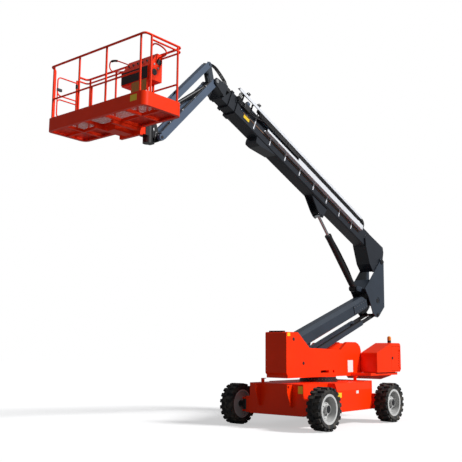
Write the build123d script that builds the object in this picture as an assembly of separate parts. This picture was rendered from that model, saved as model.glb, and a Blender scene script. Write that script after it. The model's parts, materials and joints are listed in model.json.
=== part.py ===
from build123d import *
import math
import os

# Millimetres. X runs forward, Y to the left and Z up, about the slewing axis on the ground.
# The finished pieces are moved along X at the end, so that the origin lies under the middle.

# Running gaps
pin_gap = 0.6
slide_gap = 0.6
rod_gap = 0.5
bearing_gap = 0.6
seat_gap = 0.3

# Wheels
tyre_dia = 860
tyre_width = 300
rim_dia = 590
lug_height = 28
lug_count = 20
track = 2190
wheelbase = 2690
front_axle_x = 1490
rear_axle_x = front_axle_x - wheelbase
axle_z = tyre_dia / 2
rim_lip = 22
dish_dia = 500
dish_depth = 175
hub_dia = 270
hub_step_dia = 170
lug_half_arc = 36
lug_sink = 12
tyre_shoulder = 60
tyre_side_in = 20

# Steering
kingpin_y = 860
kingpin_dia = 90
knuckle_dia = 150
knuckle_height = 210
yoke_plate = 40
spindle_dia = 130
spindle_end = track / 2 - 60

# Chassis
chassis_bottom = 300
chassis_top = 890
nose_x = 1600
nose_half_width = 680
waist_front_x = 680
waist_rear_x = -750
waist_half_width = 900
crease_z = 740
crease_in = 50
tail_x = -1330
tail_half_width = 600
axle_beam_depth = 220
axle_beam_bottom = 275
axle_beam_top = 605
axle_beam_half = 790
lug_reach = 185
lug_thick = 30
lug_y = 400
lug_top = 880
lug_low = 430
lug_bore = 60
lug_eye_in = 48

# Slewing ring and turntable
ring_dia = 780
ring_height = 55
base_bottom = 1000
base_top = 1060
base_half_width = 270
cover_thick = 80
cover_front_x = 1600
cover_rear_x = -1440
cover_high_z = 1945
cover_low_z = 1600
bump_z = 1765
front_wall = 72
counterweight_half = 450
counterweight_rear = -2560
counterweight_front = -1450
cabinet_bottom = 1070
cabinet_inner = 300
cabinet_outer = 720
cabinet_top = 1755
cabinet_front = -1380
cabinet_ridge = -2090
right_front = -470
right_slope = -880
right_rear = -2230
battery_top = 1480
beacon_dia = 100
door_thick = 22
door_gap = 6
cabinet_wall = 14
hinge_height = 30

# Riser: two telescopic sections on the turntable, with a lower link that keeps the upright level
riser_angle = 19
riser_foot_x = 1382
riser_foot_z = 1498
riser_length = 4000
link_drop = 345
link_shift = 20
riser_half_width = 170
riser_low = -55
riser_high = 255
riser_chamfer = 75
riser_wall = 12
riser_start = 390
riser_end = riser_length - 500
riser_travel = 1500
riser_step = 10
boss_r = 68
riser_pin_r = 36
link_y = 120
link_width = 70
link_height = 110
link_wall = 9
link_end = riser_length - 670
link_pin_r = 28
link_eye_r = 52
upright_inner = 200
upright_plate = 20

# Riser cylinder
riser_cyl_x = -1000
riser_cyl_z = 1140
riser_lug_s = 900
riser_lug_n = -200
riser_barrel_r = 55
riser_rod_r = 32
riser_barrel_len = 1120
riser_rod_len = 1230
riser_bore_start = 175

# Main boom: base, mid and fly sections
boom_angle = 22.5
upright_back = 240
upright_rise = 1000
boom_bottom = 34
boom_height = 420
boom_half_width = 150
boom_wall = 10
boom_chamfer = 25
section_step = 9
boom_start = 700
boom_end = 6330
mid_end = 6540
fly_end = 6790
collar_len = 110
collar_thick = 15
tail_inner = 165
tail_plate = 20
boom_pin_r = 45

# Boom cylinder
boom_cyl_reach = 780
boom_cyl_rise = 260
boom_lug_s = 2700
boom_lug_n = -205
boom_barrel_r = 75
boom_rod_r = 34
boom_barrel_len = 1640
boom_rod_len = 1630
boom_bore_start = 95
boom_cyl_pin_r = 36

# Cable tray and chain on the left side of the boom
tray_start = 1160
tray_end = 4150
tray_low = 263
tray_high = 386
tray_out = 240
chain_low = 440
chain_high = 535
chain_start = 1110
chain_end = 5750

# Jib
jib_pivot_s = 7036
jib_pivot_n = 263
jib_rise_x = 100
jib_rise_z = 345
jib_angle = 45.2
jib_length = 2040
jib_arm_in = 86
jib_arm_out = 155
jib_arm_height = 140
jib_link_in = 62
jib_link_out = 76
jib_link_low = -54
jib_link_high = 60
jib_inner_plate = (46, 58)
jib_fork_plate = (160, 184)
jib_pin_r = 26
jib_eye_r = 62
jib_wall = 8

# Jib cylinder, on the diagonal of the jib
jib_barrel_r = 40
jib_rod_r = 22
jib_barrel_len = 1290
jib_rod_len = 1400
jib_bore_start = 400
jib_cyl_half = 35

# Platform
rotator_reach = 203
rotator_arm = 125
rotator_r = 90
rotator_down = 103
rotator_up = 167
yoke_plate_thick = 32
platform_reach = 1268
platform_depth = 869
platform_length = 2435
platform_rise = 4
toe_height = 228
toe_wall = 8
toe_corner = 110
rail_height = 1175
rail_mid_height = 568
rail_r = 19
deck_thick = 6
deck_rise = 50
console_back = 538
console_near = 770
console_far = 80
console_foot = 668
console_head = 1148


def block(x0, x1, y0, y1, z0, z1):
    """A box from its lowest and highest corners."""
    return Pos((x0 + x1) / 2, (y0 + y1) / 2, (z0 + z1) / 2) * Box(x1 - x0, y1 - y0, z1 - z0)


def side_plate(points, y0, y1):
    """A plate cut to an outline in X and Z, from y0 to y1."""
    face = make_face(Plane.XZ.offset(-y0) * Polyline(*points, close=True))
    return extrude(face, amount=y1 - y0, dir=(0, 1, 0))


def beam(points, x0, x1):
    """A bar of one section in Y and Z, from x0 to x1."""
    face = make_face(Plane.YZ.offset(x0) * Polyline(*points, close=True))
    return extrude(face, amount=x1 - x0, dir=(1, 0, 0))


def slab(points, z0, z1):
    """A plate cut to an outline in X and Y, from z0 to z1."""
    face = make_face(Plane.XY.offset(z0) * Polyline(*points, close=True))
    return extrude(face, amount=z1 - z0, dir=(0, 0, 1))


def rod_y(x, z, radius, y0, y1):
    """A round bar across the machine."""
    return Pos(x, (y0 + y1) / 2, z) * Rot(90, 0, 0) * Cylinder(radius, y1 - y0)


def rod_z(x, y, radius, z0, z1):
    """An upright round bar."""
    return Pos(x, y, (z0 + z1) / 2) * Cylinder(radius, z1 - z0)


def rod_x(y, z, radius, x0, x1):
    """A round bar along the machine."""
    return Pos((x0 + x1) / 2, y, z) * Rot(0, 90, 0) * Cylinder(radius, x1 - x0)


def mirrored(shape):
    """The shape and its twin on the other side of the machine."""
    return shape + mirror(shape, about=Plane.XZ)


def section(half_width, low, high, top_cut, low_cut):
    """Corners of a box section with cut corners, as (y, z)."""
    return [
        (-half_width + low_cut, low),
        (half_width - low_cut, low),
        (half_width, low + low_cut),
        (half_width, high - top_cut),
        (half_width - top_cut, high),
        (-half_width + top_cut, high),
        (-half_width, high - top_cut),
        (-half_width, low + low_cut),
    ]


def tube(half_width, low, high, wall, cuts, x0, x1):
    """A hollow box section along X. cuts are its top and bottom corner cuts."""
    outer = beam(section(half_width, low, high, cuts[0], cuts[1]), x0, x1)
    inner = section(half_width - wall, low + wall, high - wall, cuts[0] - wall / 2, cuts[1] - wall / 2)
    return outer - beam(inner, x0 - 1, x1 + 1)


def wear_ring(half_width, low, high, cuts, thick, step, x0, x1):
    """The ring at a section's mouth. It is thick outside the section and reaches step into it."""
    outer = beam(section(half_width + thick, low - thick, high + thick, cuts[0], cuts[1]), x0, x1)
    gap = step - slide_gap
    inner = section(half_width - gap, low + gap, high - gap, cuts[0] - gap / 2, cuts[1] - gap / 2)
    return outer - beam(inner, x0 - 1, x1 + 1)


def turned(x, z, angle):
    """A frame at (x, z) whose X axis points the given angle above forward."""
    return Pos(x, 0, z) * Rot(0, -angle, 0)


def point_in(x, z, angle, along, above):
    """The world X and Z of a point given in the frame of turned()."""
    c = math.cos(math.radians(angle))
    s = math.sin(math.radians(angle))
    return x + along * c - above * s, z + along * s + above * c


def cylinder_pair(ends, barrel_r, rod_r, barrel_len, rod_len, bore_start, pin_r, half_width):
    """A hydraulic barrel on its pin, and its rod with the eye at the other end of ends."""
    x0, z0, x1, z1 = ends
    length = math.hypot(x1 - x0, z1 - z0)
    angle = math.degrees(math.atan2(z1 - z0, x1 - x0))
    gland_len = 60
    gland_out = 5
    eye_r = barrel_r * 0.94
    neck = barrel_r * 0.55
    eye = rod_y(0, 0, eye_r, -half_width, half_width)
    eye += block(0, barrel_r * 1.3, -half_width, half_width, -neck, neck)
    eye -= rod_y(0, 0, pin_r + pin_gap, -half_width - 1, half_width + 1)
    barrel = rod_x(0, 0, barrel_r, barrel_r * 1.2, barrel_len)
    barrel += rod_x(0, 0, barrel_r + gland_out, barrel_len - gland_len, barrel_len)
    barrel -= rod_x(0, 0, rod_r + rod_gap, bore_start, barrel_len + 1)
    barrel += eye
    rod = rod_x(0, 0, rod_r, length - rod_len, length - pin_r * 0.5)
    rod += rod_y(length, 0, rod_r * 1.3, -half_width, half_width)
    place = turned(x0, z0, angle)
    return place * barrel, place * rod


# Places worked out from the sizes above
riser_frame = turned(riser_foot_x, riser_foot_z, -riser_angle)
riser_head_x, riser_head_z = point_in(riser_foot_x, riser_foot_z, -riser_angle, -riser_length, 0)
link_foot_z = riser_foot_z - link_drop
link_head_z = riser_head_z - link_drop
link_foot_x = riser_foot_x + link_shift
link_head_x = riser_head_x + link_shift
link_frame = turned(link_foot_x, link_foot_z, -riser_angle)
riser_lug_x, riser_lug_z = point_in(riser_foot_x, riser_foot_z, -riser_angle, -riser_lug_s, riser_lug_n)
pivot_x = riser_head_x - upright_back
pivot_z = riser_head_z + upright_rise
boom_cyl_x = riser_head_x + boom_cyl_reach
boom_cyl_z = riser_head_z + boom_cyl_rise
boom_frame = turned(pivot_x, pivot_z, boom_angle)
boom_lug_x, boom_lug_z = point_in(pivot_x, pivot_z, boom_angle, boom_lug_s, boom_lug_n)
jib_x, jib_z = point_in(pivot_x, pivot_z, boom_angle, jib_pivot_s, jib_pivot_n)
jib_top_x = jib_x + jib_rise_x
jib_top_z = jib_z + jib_rise_z
jib_frame = turned(jib_x, jib_z, -jib_angle)
jib_top_frame = turned(jib_top_x, jib_top_z, -jib_angle)
jib_end_x, jib_end_z = point_in(jib_x, jib_z, -jib_angle, jib_length, 0)
jib_top_end_x = jib_end_x + jib_rise_x
jib_top_end_z = jib_end_z + jib_rise_z
rotator_x = jib_end_x + rotator_reach
rotator_low = jib_end_z - rotator_down
rotator_high = jib_end_z + rotator_up
rotator_arm_x = rotator_x + rotator_arm
platform_front = rotator_x + platform_reach
platform_rear = platform_front - platform_depth
platform_bottom = jib_end_z + platform_rise
rail_top = platform_bottom + rail_height
rail_mid = platform_bottom + rail_mid_height
console_front = platform_front - console_back
console_low = platform_bottom + console_foot
console_high = platform_bottom + console_head
platform_half = platform_length / 2
platform_mid_x = (platform_front + platform_rear) / 2
rail_inset = toe_wall + seat_gap + rail_r
rail_front_x = platform_front - rail_inset
rail_rear_x = platform_rear + rail_inset
rail_side_y = platform_half - rail_inset
gate_hinge_x = platform_mid_x - 165
gate_hinge_y = -rail_side_y
gate_end_x = rail_front_x - 110
gate_low = platform_bottom + toe_height + 50
gate_high = rail_top - 100
bar_z = rail_top - 75
bar_post_x = platform_front - 168
deck_z = platform_bottom + deck_rise


# Wheels
def make_tyre():
    """A tyre about the Y axis, with two staggered rows of lugs."""
    half = tyre_width / 2
    body_r = tyre_dia / 2 - lug_height
    seat = rim_dia / 2
    profile = Polyline(
        (seat, -half + tyre_side_in),
        (seat + tyre_shoulder, -half),
        (body_r - tyre_shoulder / 2, -half),
        (body_r, -half + tyre_shoulder),
        (body_r, half - tyre_shoulder),
        (body_r - tyre_shoulder / 2, half),
        (seat + tyre_shoulder, half),
        (seat, half - tyre_side_in),
        close=True,
    )
    body = revolve(make_face(profile), axis=Axis.Y)
    pitch = 360 / lug_count
    skew = lug_half_arc * 0.5
    lug = slab(
        [
            (-lug_half_arc, -half + 4),
            (lug_half_arc, -half + 4),
            (lug_half_arc + skew, 12),
            (-lug_half_arc + skew, 12),
        ],
        body_r - lug_sink,
        tyre_dia / 2 - 3.6,
    )
    other = mirror(lug, about=Plane.XZ)
    lugs = [Rot(0, n * pitch, 0) * lug for n in range(lug_count)]
    lugs += [Rot(0, (n + 0.5) * pitch, 0) * other for n in range(lug_count)]
    return body + lugs


def make_rim():
    """A deep dished rim about the Y axis, with its outer side towards +Y."""
    half = tyre_width / 2 - 20
    seat = rim_dia / 2
    disc = half - dish_depth
    disc_thick = 24
    ring = Rot(90, 0, 0) * Cylinder(seat, 2 * half)
    dish = Pos(0, half, 0) * Rot(90, 0, 0) * Cylinder(dish_dia / 2, 2 * dish_depth)
    back = Pos(0, -half, 0) * Rot(90, 0, 0) * Cylinder(seat - rim_lip, 2 * (half + disc - disc_thick))
    hub = Pos(0, disc + 45, 0) * Rot(90, 0, 0) * Cylinder(hub_dia / 2, 90)
    cap = Pos(0, disc + 120, 0) * Rot(90, 0, 0) * Cylinder(hub_step_dia / 2, 60)
    bore_end = spindle_end - track / 2 + pin_gap
    bore = rod_y(0, 0, spindle_dia / 2 + pin_gap, -half, bore_end)
    return ring - dish - back + hub + cap - bore


# Chassis
def make_chassis():
    nose = block(waist_front_x - 1, nose_x, -nose_half_width, nose_half_width, chassis_bottom, chassis_top)
    waist = beam(
        [
            (-waist_half_width, chassis_bottom),
            (waist_half_width, chassis_bottom),
            (waist_half_width, crease_z),
            (waist_half_width - crease_in, chassis_top),
            (-waist_half_width + crease_in, chassis_top),
            (-waist_half_width, crease_z),
        ],
        waist_rear_x,
        waist_front_x,
    )
    tail = block(tail_x, waist_rear_x + 1, -tail_half_width, tail_half_width, chassis_bottom, chassis_top)
    keel = block(waist_front_x, nose_x, -nose_half_width, nose_half_width, chassis_bottom - 40,
                 chassis_bottom + 1)
    gusset_reach = 330
    gusset_out = 120
    corner = slab(
        [
            (waist_front_x - 1, nose_half_width - 1),
            (waist_front_x + gusset_reach, nose_half_width - 1),
            (waist_front_x - 1, nose_half_width + gusset_out),
        ],
        chassis_bottom,
        crease_z,
    )
    body = nose + waist + tail + keel + mirrored(corner)
    bracket_thick = 12
    bracket_high = 95
    for x, y in ((nose_x - 130, -430), (waist_rear_x - 200, 380)):
        body += block(x, x + bracket_thick, y - 40, y + 40, chassis_top, chassis_top + bracket_high)
        body += block(x - 60, x + bracket_thick, y - 40, y + 40, chassis_top + bracket_high - bracket_thick,
                      chassis_top + bracket_high)
    return body


def make_tie_down_lugs():
    """Four tapered plates with a bore, two on the nose and two on the tail."""
    lugs = []
    for x, way in ((nose_x, 1), (tail_x, -1)):
        foot = x + way * seat_gap
        eye_x = x + way * (lug_reach - lug_eye_in)
        plate = side_plate(
            [
                (foot, lug_top),
                (x + way * lug_reach, lug_top),
                (x + way * lug_reach, lug_top - 150),
                (x + way * 60, lug_low),
                (foot, lug_low),
            ],
            -lug_thick / 2,
            lug_thick / 2,
        )
        plate -= rod_y(eye_x, lug_top - lug_eye_in, lug_bore / 2, -lug_thick, lug_thick)
        lugs += [Pos(0, -lug_y, 0) * plate, Pos(0, lug_y, 0) * plate]
    return Compound(children=lugs)


def make_axle(x, steered):
    """An axle beam. A steered one carries a yoke for the kingpin at each end."""
    half_depth = axle_beam_depth / 2
    inner = nose_half_width if steered else tail_half_width
    end = block(x - half_depth, x + half_depth, inner, axle_beam_half, axle_beam_bottom, axle_beam_top)
    if steered:
        yoke_half = knuckle_height / 2 + yoke_plate
        gap_half = knuckle_height / 2 + 6
        reach = kingpin_y + kingpin_dia / 2 + 12
        fork = block(x - 70, x + 70, axle_beam_half - 40, reach, axle_z - yoke_half, axle_z + yoke_half)
        slot = block(x - 200, x + 200, kingpin_y - knuckle_dia / 2 - 8, reach + 1, axle_z - gap_half,
                     axle_z + gap_half)
        pin = rod_z(x, kingpin_y, kingpin_dia / 2, axle_z - yoke_half, axle_z + yoke_half)
        end = end + fork - slot + pin
    else:
        end += rod_y(x, axle_z, spindle_dia / 2, axle_beam_half - 1, spindle_end)
    return mirrored(end)


def make_steer_knuckle(side):
    """The swivel on the kingpin, with its spindle into the wheel."""
    half = knuckle_height / 2
    body = rod_z(front_axle_x, kingpin_y, knuckle_dia / 2, axle_z - half, axle_z + half)
    body += rod_y(front_axle_x, axle_z, spindle_dia / 2, kingpin_y, spindle_end)
    body -= rod_z(front_axle_x, kingpin_y, kingpin_dia / 2 + pin_gap, axle_z - half - 1, axle_z + half + 1)
    if side < 0:
        body = mirror(body, about=Plane.XZ)
    return body


# Turntable
def cover_outline():
    """Side outline of the hood, as (x, z), from the front foot round the top to the rear foot."""
    toe = 45
    return [
        (cover_front_x - toe, base_top),
        (cover_front_x, base_top + toe),
        (cover_front_x, cover_high_z - 20),
        (cover_front_x - 20, cover_high_z),
        (1180, cover_high_z),
        (740, cover_low_z + 20),
        (-540, cover_low_z - 10),
        (-790, bump_z - 15),
        (-850, bump_z),
        (-1190, bump_z),
        (-1300, bump_z - 35),
        (-1390, bump_z - 105),
        (-1425, bump_z - 190),
        (cover_rear_x, bump_z - 300),
        (cover_rear_x, base_top),
    ]


def make_turntable_frame():
    """Base plate, the upper half of the slewing ring, and the uprights that hold the foot pins."""
    ring_top = chassis_top + ring_height
    ring = rod_z(0, 0, ring_dia / 2, ring_top + bearing_gap, base_bottom)
    base = slab(
        [
            (cover_front_x - 45, -base_half_width),
            (cover_front_x - 45, base_half_width),
            (-950, base_half_width),
            (-1150, cabinet_outer - 40),
            (counterweight_rear + 120, cabinet_outer - 40),
            (counterweight_rear + 120, -cabinet_outer + 40),
            (-1150, -cabinet_outer + 40),
            (-950, -base_half_width),
        ],
        base_bottom,
        base_top,
    )
    inner = link_y + link_width / 2 + 2
    upright = side_plate(
        [
            (riser_foot_x - 300, base_top),
            (riser_foot_x + 125, base_top),
            (riser_foot_x + 125, riser_foot_z + 60),
            (riser_foot_x + 60, riser_foot_z + 110),
            (riser_foot_x - 60, riser_foot_z + 110),
        ],
        inner,
        base_half_width - cover_thick - 5,
    )
    pins = rod_y(riser_foot_x, riser_foot_z, riser_pin_r, -inner - 5, inner + 5)
    pins += rod_y(link_foot_x, link_foot_z, link_pin_r, -inner - 5, inner + 5)
    lug_in = 58
    lug = side_plate(
        [
            (riser_cyl_x - 90, base_top),
            (riser_cyl_x + 90, base_top),
            (riser_cyl_x + 45, riser_cyl_z + 40),
            (riser_cyl_x - 45, riser_cyl_z + 40),
        ],
        lug_in,
        lug_in + 20,
    )
    pin = rod_y(riser_cyl_x, riser_cyl_z, 30, -lug_in - 20, lug_in + 20)
    return ring + base + mirrored(upright) + pins + mirrored(lug) + pin


def make_turntable_covers():
    """Two side covers with the riser's slot between them, and the closed front."""
    inner = base_half_width - cover_thick
    side = side_plate(cover_outline(), inner, base_half_width)
    left = side - block(-20, 320, inner - 1, base_half_width + 1, 1085, 1140)
    left -= block(-245, -170, inner - 1, base_half_width + 1, 1085, 1140)
    front = side_plate(
        [
            (cover_front_x - 45, base_top),
            (cover_front_x, base_top + 45),
            (cover_front_x, cover_high_z - 20),
            (cover_front_x - 20, cover_high_z),
            (cover_front_x - front_wall, cover_high_z),
            (cover_front_x - front_wall, base_top),
        ],
        -base_half_width + 1,
        base_half_width - 1,
    )
    return left + mirror(side, about=Plane.XZ) + front


def make_front_cap():
    """The low black lid on top of the hood's front."""
    rear = cover_front_x - front_wall + 4
    return block(rear, cover_front_x - 22, -190, 190, cover_high_z, cover_high_z + 26)


def make_counterweight():
    return side_plate(
        [
            (counterweight_front, base_bottom),
            (counterweight_rear + 680, base_bottom),
            (counterweight_rear + 530, chassis_top + 5),
            (counterweight_rear, base_bottom - 30),
            (counterweight_rear, base_top),
            (counterweight_rear + 120, base_top),
            (counterweight_rear + 120, base_bottom),
        ],
        -counterweight_half,
        counterweight_half,
    )


def cabinet_outline():
    """Side outline of the left cabinet, as (x, z)."""
    return [
        (cabinet_front, cabinet_bottom),
        (cabinet_front, cabinet_top - 250),
        (cabinet_front - 15, cabinet_top - 230),
        (cabinet_ridge + 30, cabinet_top - 10),
        (cabinet_ridge, cabinet_top),
        (counterweight_rear + 70, cabinet_top),
        (counterweight_rear + 20, cabinet_top - 20),
        (counterweight_rear, cabinet_top - 70),
        (counterweight_rear, cabinet_bottom + 60),
        (counterweight_rear + 60, cabinet_bottom),
    ]


def right_cabinet_outline():
    """Side outline of the lower right cabinet, as (x, z)."""
    return [
        (right_front, cabinet_bottom),
        (right_front, bump_z - 285),
        (right_slope, bump_z - 20),
        (right_rear + 110, bump_z - 20),
        (right_rear, bump_z - 90),
        (right_rear, cabinet_bottom + 60),
        (right_rear + 50, cabinet_bottom),
    ]


def hinge_leaves(rear, way, levels):
    """Hinge knuckles on a door's rear edge. way is +1 for the door's leaves and -1 for the frame's."""
    x = rear - door_gap / 2
    y = cabinet_outer + door_gap
    leaves = []
    for z in levels:
        leaf = rod_z(x, y, door_gap, z, z + hinge_height)
        leaf += block(min(x, x + way * 36), max(x, x + way * 36), cabinet_outer - 0.5, y + 2, z,
                      z + hinge_height)
        leaves.append(leaf)
    return leaves


def make_cabinet(outline, foot_rear, foot_front, door):
    """A hollow cabinet on the left side, with a foot on the base plate and the hole for its door."""
    rear, front, low, high = door
    body = side_plate(outline, cabinet_inner, cabinet_outer)
    face = make_face(Plane.XZ.offset(-cabinet_inner - cabinet_wall) * Polyline(*outline, close=True))
    depth = cabinet_outer - cabinet_inner - 2 * cabinet_wall
    body -= extrude(offset(face, -cabinet_wall), amount=depth, dir=(0, 1, 0))
    body -= block(rear - door_gap, front + door_gap, cabinet_outer - cabinet_wall - 1, cabinet_outer + 1,
                  low - door_gap, high + door_gap)
    body += block(foot_rear, foot_front, cabinet_inner + 20, cabinet_outer - 60, base_top,
                  cabinet_bottom + 1)
    step = hinge_height + seat_gap
    return body + hinge_leaves(rear, -1, (low + 60 - step, high - 60 - 2 * step))


def make_cabinet_door(door):
    """A door for the left side, hinged at its rear edge, with a column of vents."""
    rear, front, low, high = door
    body = block(rear, front, cabinet_outer - door_thick, cabinet_outer, low, high)
    slots = 7
    pitch = (high - low - 160) / slots
    for n in range(slots):
        z = low + 100 + n * pitch
        body -= block(rear + 50, rear + 85, 0, cabinet_outer + 1, z, z + 22)
    step = hinge_height + seat_gap
    return body + hinge_leaves(rear, 1, (low + 60, high - 60 - step))


def make_battery(rear, front):
    """One plain block of batteries, standing on a cabinet's floor on the left side."""
    floor = cabinet_bottom + cabinet_wall + seat_gap
    return block(rear, front, cabinet_inner + 40, cabinet_outer - 60, floor, battery_top)


def make_beacon():
    x = counterweight_rear + 340
    y = cabinet_outer - 120
    stem = rod_z(x, y, beacon_dia * 0.36, cabinet_top, cabinet_top + 60)
    lens = rod_z(x, y, beacon_dia * 0.46, cabinet_top + 60, cabinet_top + 120)
    dome = Pos(x, y, cabinet_top + 120) * Sphere(beacon_dia * 0.46)
    return stem + lens + dome


# Riser
def make_riser_base():
    """Outer riser section, its foot on the turntable pin and the wear plates at its mouth."""
    cuts = (riser_chamfer, 20)
    body = tube(riser_half_width, riser_low, riser_high, riser_wall, cuts, -riser_end, -riser_start)
    foot = side_plate(
        [
            (-riser_start - 60, riser_low),
            (-riser_start - 60, riser_high - 90),
            (-riser_start + 40, riser_high - 110),
            (boss_r * 0.3, boss_r * 0.95),
            (boss_r, 0),
            (boss_r * 0.3, -boss_r * 0.95),
            (-boss_r, -boss_r * 0.7),
        ],
        -riser_half_width + riser_wall + 8,
        riser_half_width - riser_wall - 8,
    )
    foot += rod_y(0, 0, boss_r, -150, 150)
    inner = riser_half_width - riser_wall - 9
    cheek = block(-riser_start - 60, -riser_start + 1, inner, riser_half_width - 1,
                  riser_low + 25, riser_high - riser_chamfer - 10)
    body += foot + mirrored(cheek)
    body -= rod_y(0, 0, riser_pin_r + pin_gap, -200, 200)
    ring = wear_ring(riser_half_width, riser_low, riser_high, cuts, 0, riser_wall + riser_step,
                     -riser_end, -riser_end + 80)
    pad = block(-riser_end - 20, -riser_end + 620, riser_half_width - 1, riser_half_width + 14,
                riser_low + 40, riser_high - riser_chamfer)
    body += ring + mirrored(pad)
    lug_in = 46
    lug = side_plate(
        [
            (-riser_lug_s - 130, riser_low + 2),
            (-riser_lug_s + 130, riser_low + 2),
            (-riser_lug_s + 45, riser_lug_n - 40),
            (-riser_lug_s - 45, riser_lug_n - 40),
        ],
        lug_in,
        lug_in + 18,
    )
    body += mirrored(lug)
    stub = rod_y(-riser_lug_s, riser_lug_n, 30, lug_in, lug_in + 30)
    body += mirrored(stub)
    return riser_frame * body


def make_riser_extension():
    """Inner riser section, with the boss that carries the upright."""
    inset = riser_wall + riser_step
    half = riser_half_width - inset
    low = riser_low + inset
    high = riser_high - inset
    cuts = (riser_chamfer - inset / 2, 20 - 6)
    inner_end = riser_end - riser_travel - 900
    body = tube(half, low, high, riser_wall, cuts, -riser_length + 150, -inner_end)
    head = side_plate(
        [
            (-riser_length + 230, low),
            (-riser_length + 230, high - 80),
            (-riser_length + 150, high - 80),
            (-riser_length - boss_r * 0.3, boss_r * 0.95),
            (-riser_length - boss_r, 0),
            (-riser_length - boss_r * 0.3, -boss_r * 0.95),
            (-riser_length + boss_r, -boss_r * 0.7),
        ],
        -half + riser_wall - 1,
        half - riser_wall + 1,
    )
    body += head + rod_y(-riser_length, 0, boss_r, -half, half)
    body -= rod_y(-riser_length, 0, riser_pin_r + pin_gap, -200, 200)
    return riser_frame * body


def link_bar(y, half_width, half_height, wall, x0, x1):
    """One hollow bar of the lower link."""
    outer = block(x0, x1, y - half_width, y + half_width, -half_height, half_height)
    inner = block(x0 - 1, x1 + 1, y - half_width + wall, y + half_width - wall, -half_height + wall,
                  half_height - wall)
    return outer - inner


def make_link_base():
    """The lower link's two outer bars, with their eyes on the turntable pin."""
    half_w = link_width / 2
    half_h = link_height / 2
    bar = link_bar(link_y, half_w, half_h, link_wall, -link_end, -120)
    bar += block(-150, 0, link_y - half_w, link_y + half_w, -link_eye_r * 0.9, link_eye_r * 0.9)
    bar += rod_y(0, 0, link_eye_r, link_y - half_w, link_y + half_w)
    bar -= rod_y(0, 0, link_pin_r + pin_gap, 0, 300)
    gap = link_wall + 6 - slide_gap
    ring = link_bar(link_y, half_w, half_h, gap, -link_end, -link_end + 60)
    bars = mirrored(bar + ring)
    tie = rod_y(-link_end + 150, 0, 35, -link_y + half_w - 1, link_y - half_w + 1)
    return link_frame * (bars + tie)


def make_link_extension():
    """The lower link's two inner bars, with their eyes on the upright's pin."""
    inset = link_wall + 6
    half_w = link_width / 2 - inset
    half_h = link_height / 2 - inset
    inner_end = link_end - riser_travel - 700
    bar = link_bar(link_y, half_w, half_h, 7, -riser_length + 40, -inner_end)
    bar += block(-riser_length, -riser_length + 60, link_y - half_w, link_y + half_w, -half_h, half_h)
    bar += rod_y(-riser_length, 0, link_eye_r, link_y - half_w - 10, link_y + half_w + 10)
    bar -= rod_y(-riser_length, 0, link_pin_r + pin_gap, 0, 300)
    return link_frame * mirrored(bar)


def make_riser_chain():
    """The chain tray that lies on the left bar of the lower link."""
    half_h = link_height / 2
    tray = block(-link_end + 20, -700, link_y - 20, link_y + link_width / 2, half_h, half_h + 14)
    return link_frame * tray


# Upright between riser and main boom
def make_boom_upright():
    """Two plates on the riser's and the link's pins, carrying the boom's pivot and its cylinder."""
    y0 = upright_inner
    y1 = upright_inner + upright_plate
    plate = side_plate(
        [
            (616, 265),
            (334, 519),
            (-146, 987),
            (-185, upright_rise + 65),
            (-upright_back, upright_rise + 90),
            (-upright_back - 65, upright_rise + 70),
            (-upright_back - 110, upright_rise + 15),
            (-upright_back - 96, -139),
            (link_shift - 70, -link_drop - 40),
            (link_shift + 4, -link_drop - 72),
            (link_shift + 80, -link_drop - 60),
            (246, -314),
            (453, 68),
        ],
        y0,
        y1,
    )
    plate -= rod_y(0, 0, 90, y0 - 1, y1 + 1)
    body = mirrored(plate)
    body += rod_y(0, 0, riser_pin_r, -y0 + 8, y0 - 8)
    boss = rod_y(0, 0, 91, y0 - 45, y1 - 8)
    body += mirrored(boss)
    body += rod_y(link_shift, -link_drop, link_pin_r, -y1 - 8, y1 + 8)
    body += rod_y(-upright_back, upright_rise, boom_pin_r, -y1 - 10, y1 + 10)
    body += block(-upright_back - 98, -upright_back - 78, -y0 - 1, y0 + 1, -100, 320)
    cross = side_plate(
        [
            (600, 266),
            (334, 506),
            (314, 484),
            (582, 242),
        ],
        -y0 - 1,
        y0 + 1,
    )
    body += cross
    lug_in = boom_barrel_r + 10
    lug = side_plate(
        [
            (510, 185),
            (boom_cyl_reach - 10, boom_cyl_rise - 62),
            (boom_cyl_reach + 45, boom_cyl_rise - 45),
            (boom_cyl_reach + 62, boom_cyl_rise),
            (boom_cyl_reach + 45, boom_cyl_rise + 45),
            (boom_cyl_reach - 20, boom_cyl_rise + 60),
            (550, 305),
            (350, 490),
            (325, 460),
        ],
        lug_in,
        lug_in + 24,
    )
    body += mirrored(lug)
    body += rod_y(boom_cyl_reach, boom_cyl_rise, boom_cyl_pin_r, -lug_in - 30, lug_in + 30)
    return Pos(riser_head_x, 0, riser_head_z) * body


# Main boom
def boom_section(index):
    """Half width, low edge, high edge and corner cuts of the base, mid or fly section."""
    inset = index * (boom_wall + section_step)
    cut = boom_chamfer - index * 5
    return boom_half_width - inset, boom_bottom + inset, boom_bottom + boom_height - inset, (cut, cut)


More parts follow.
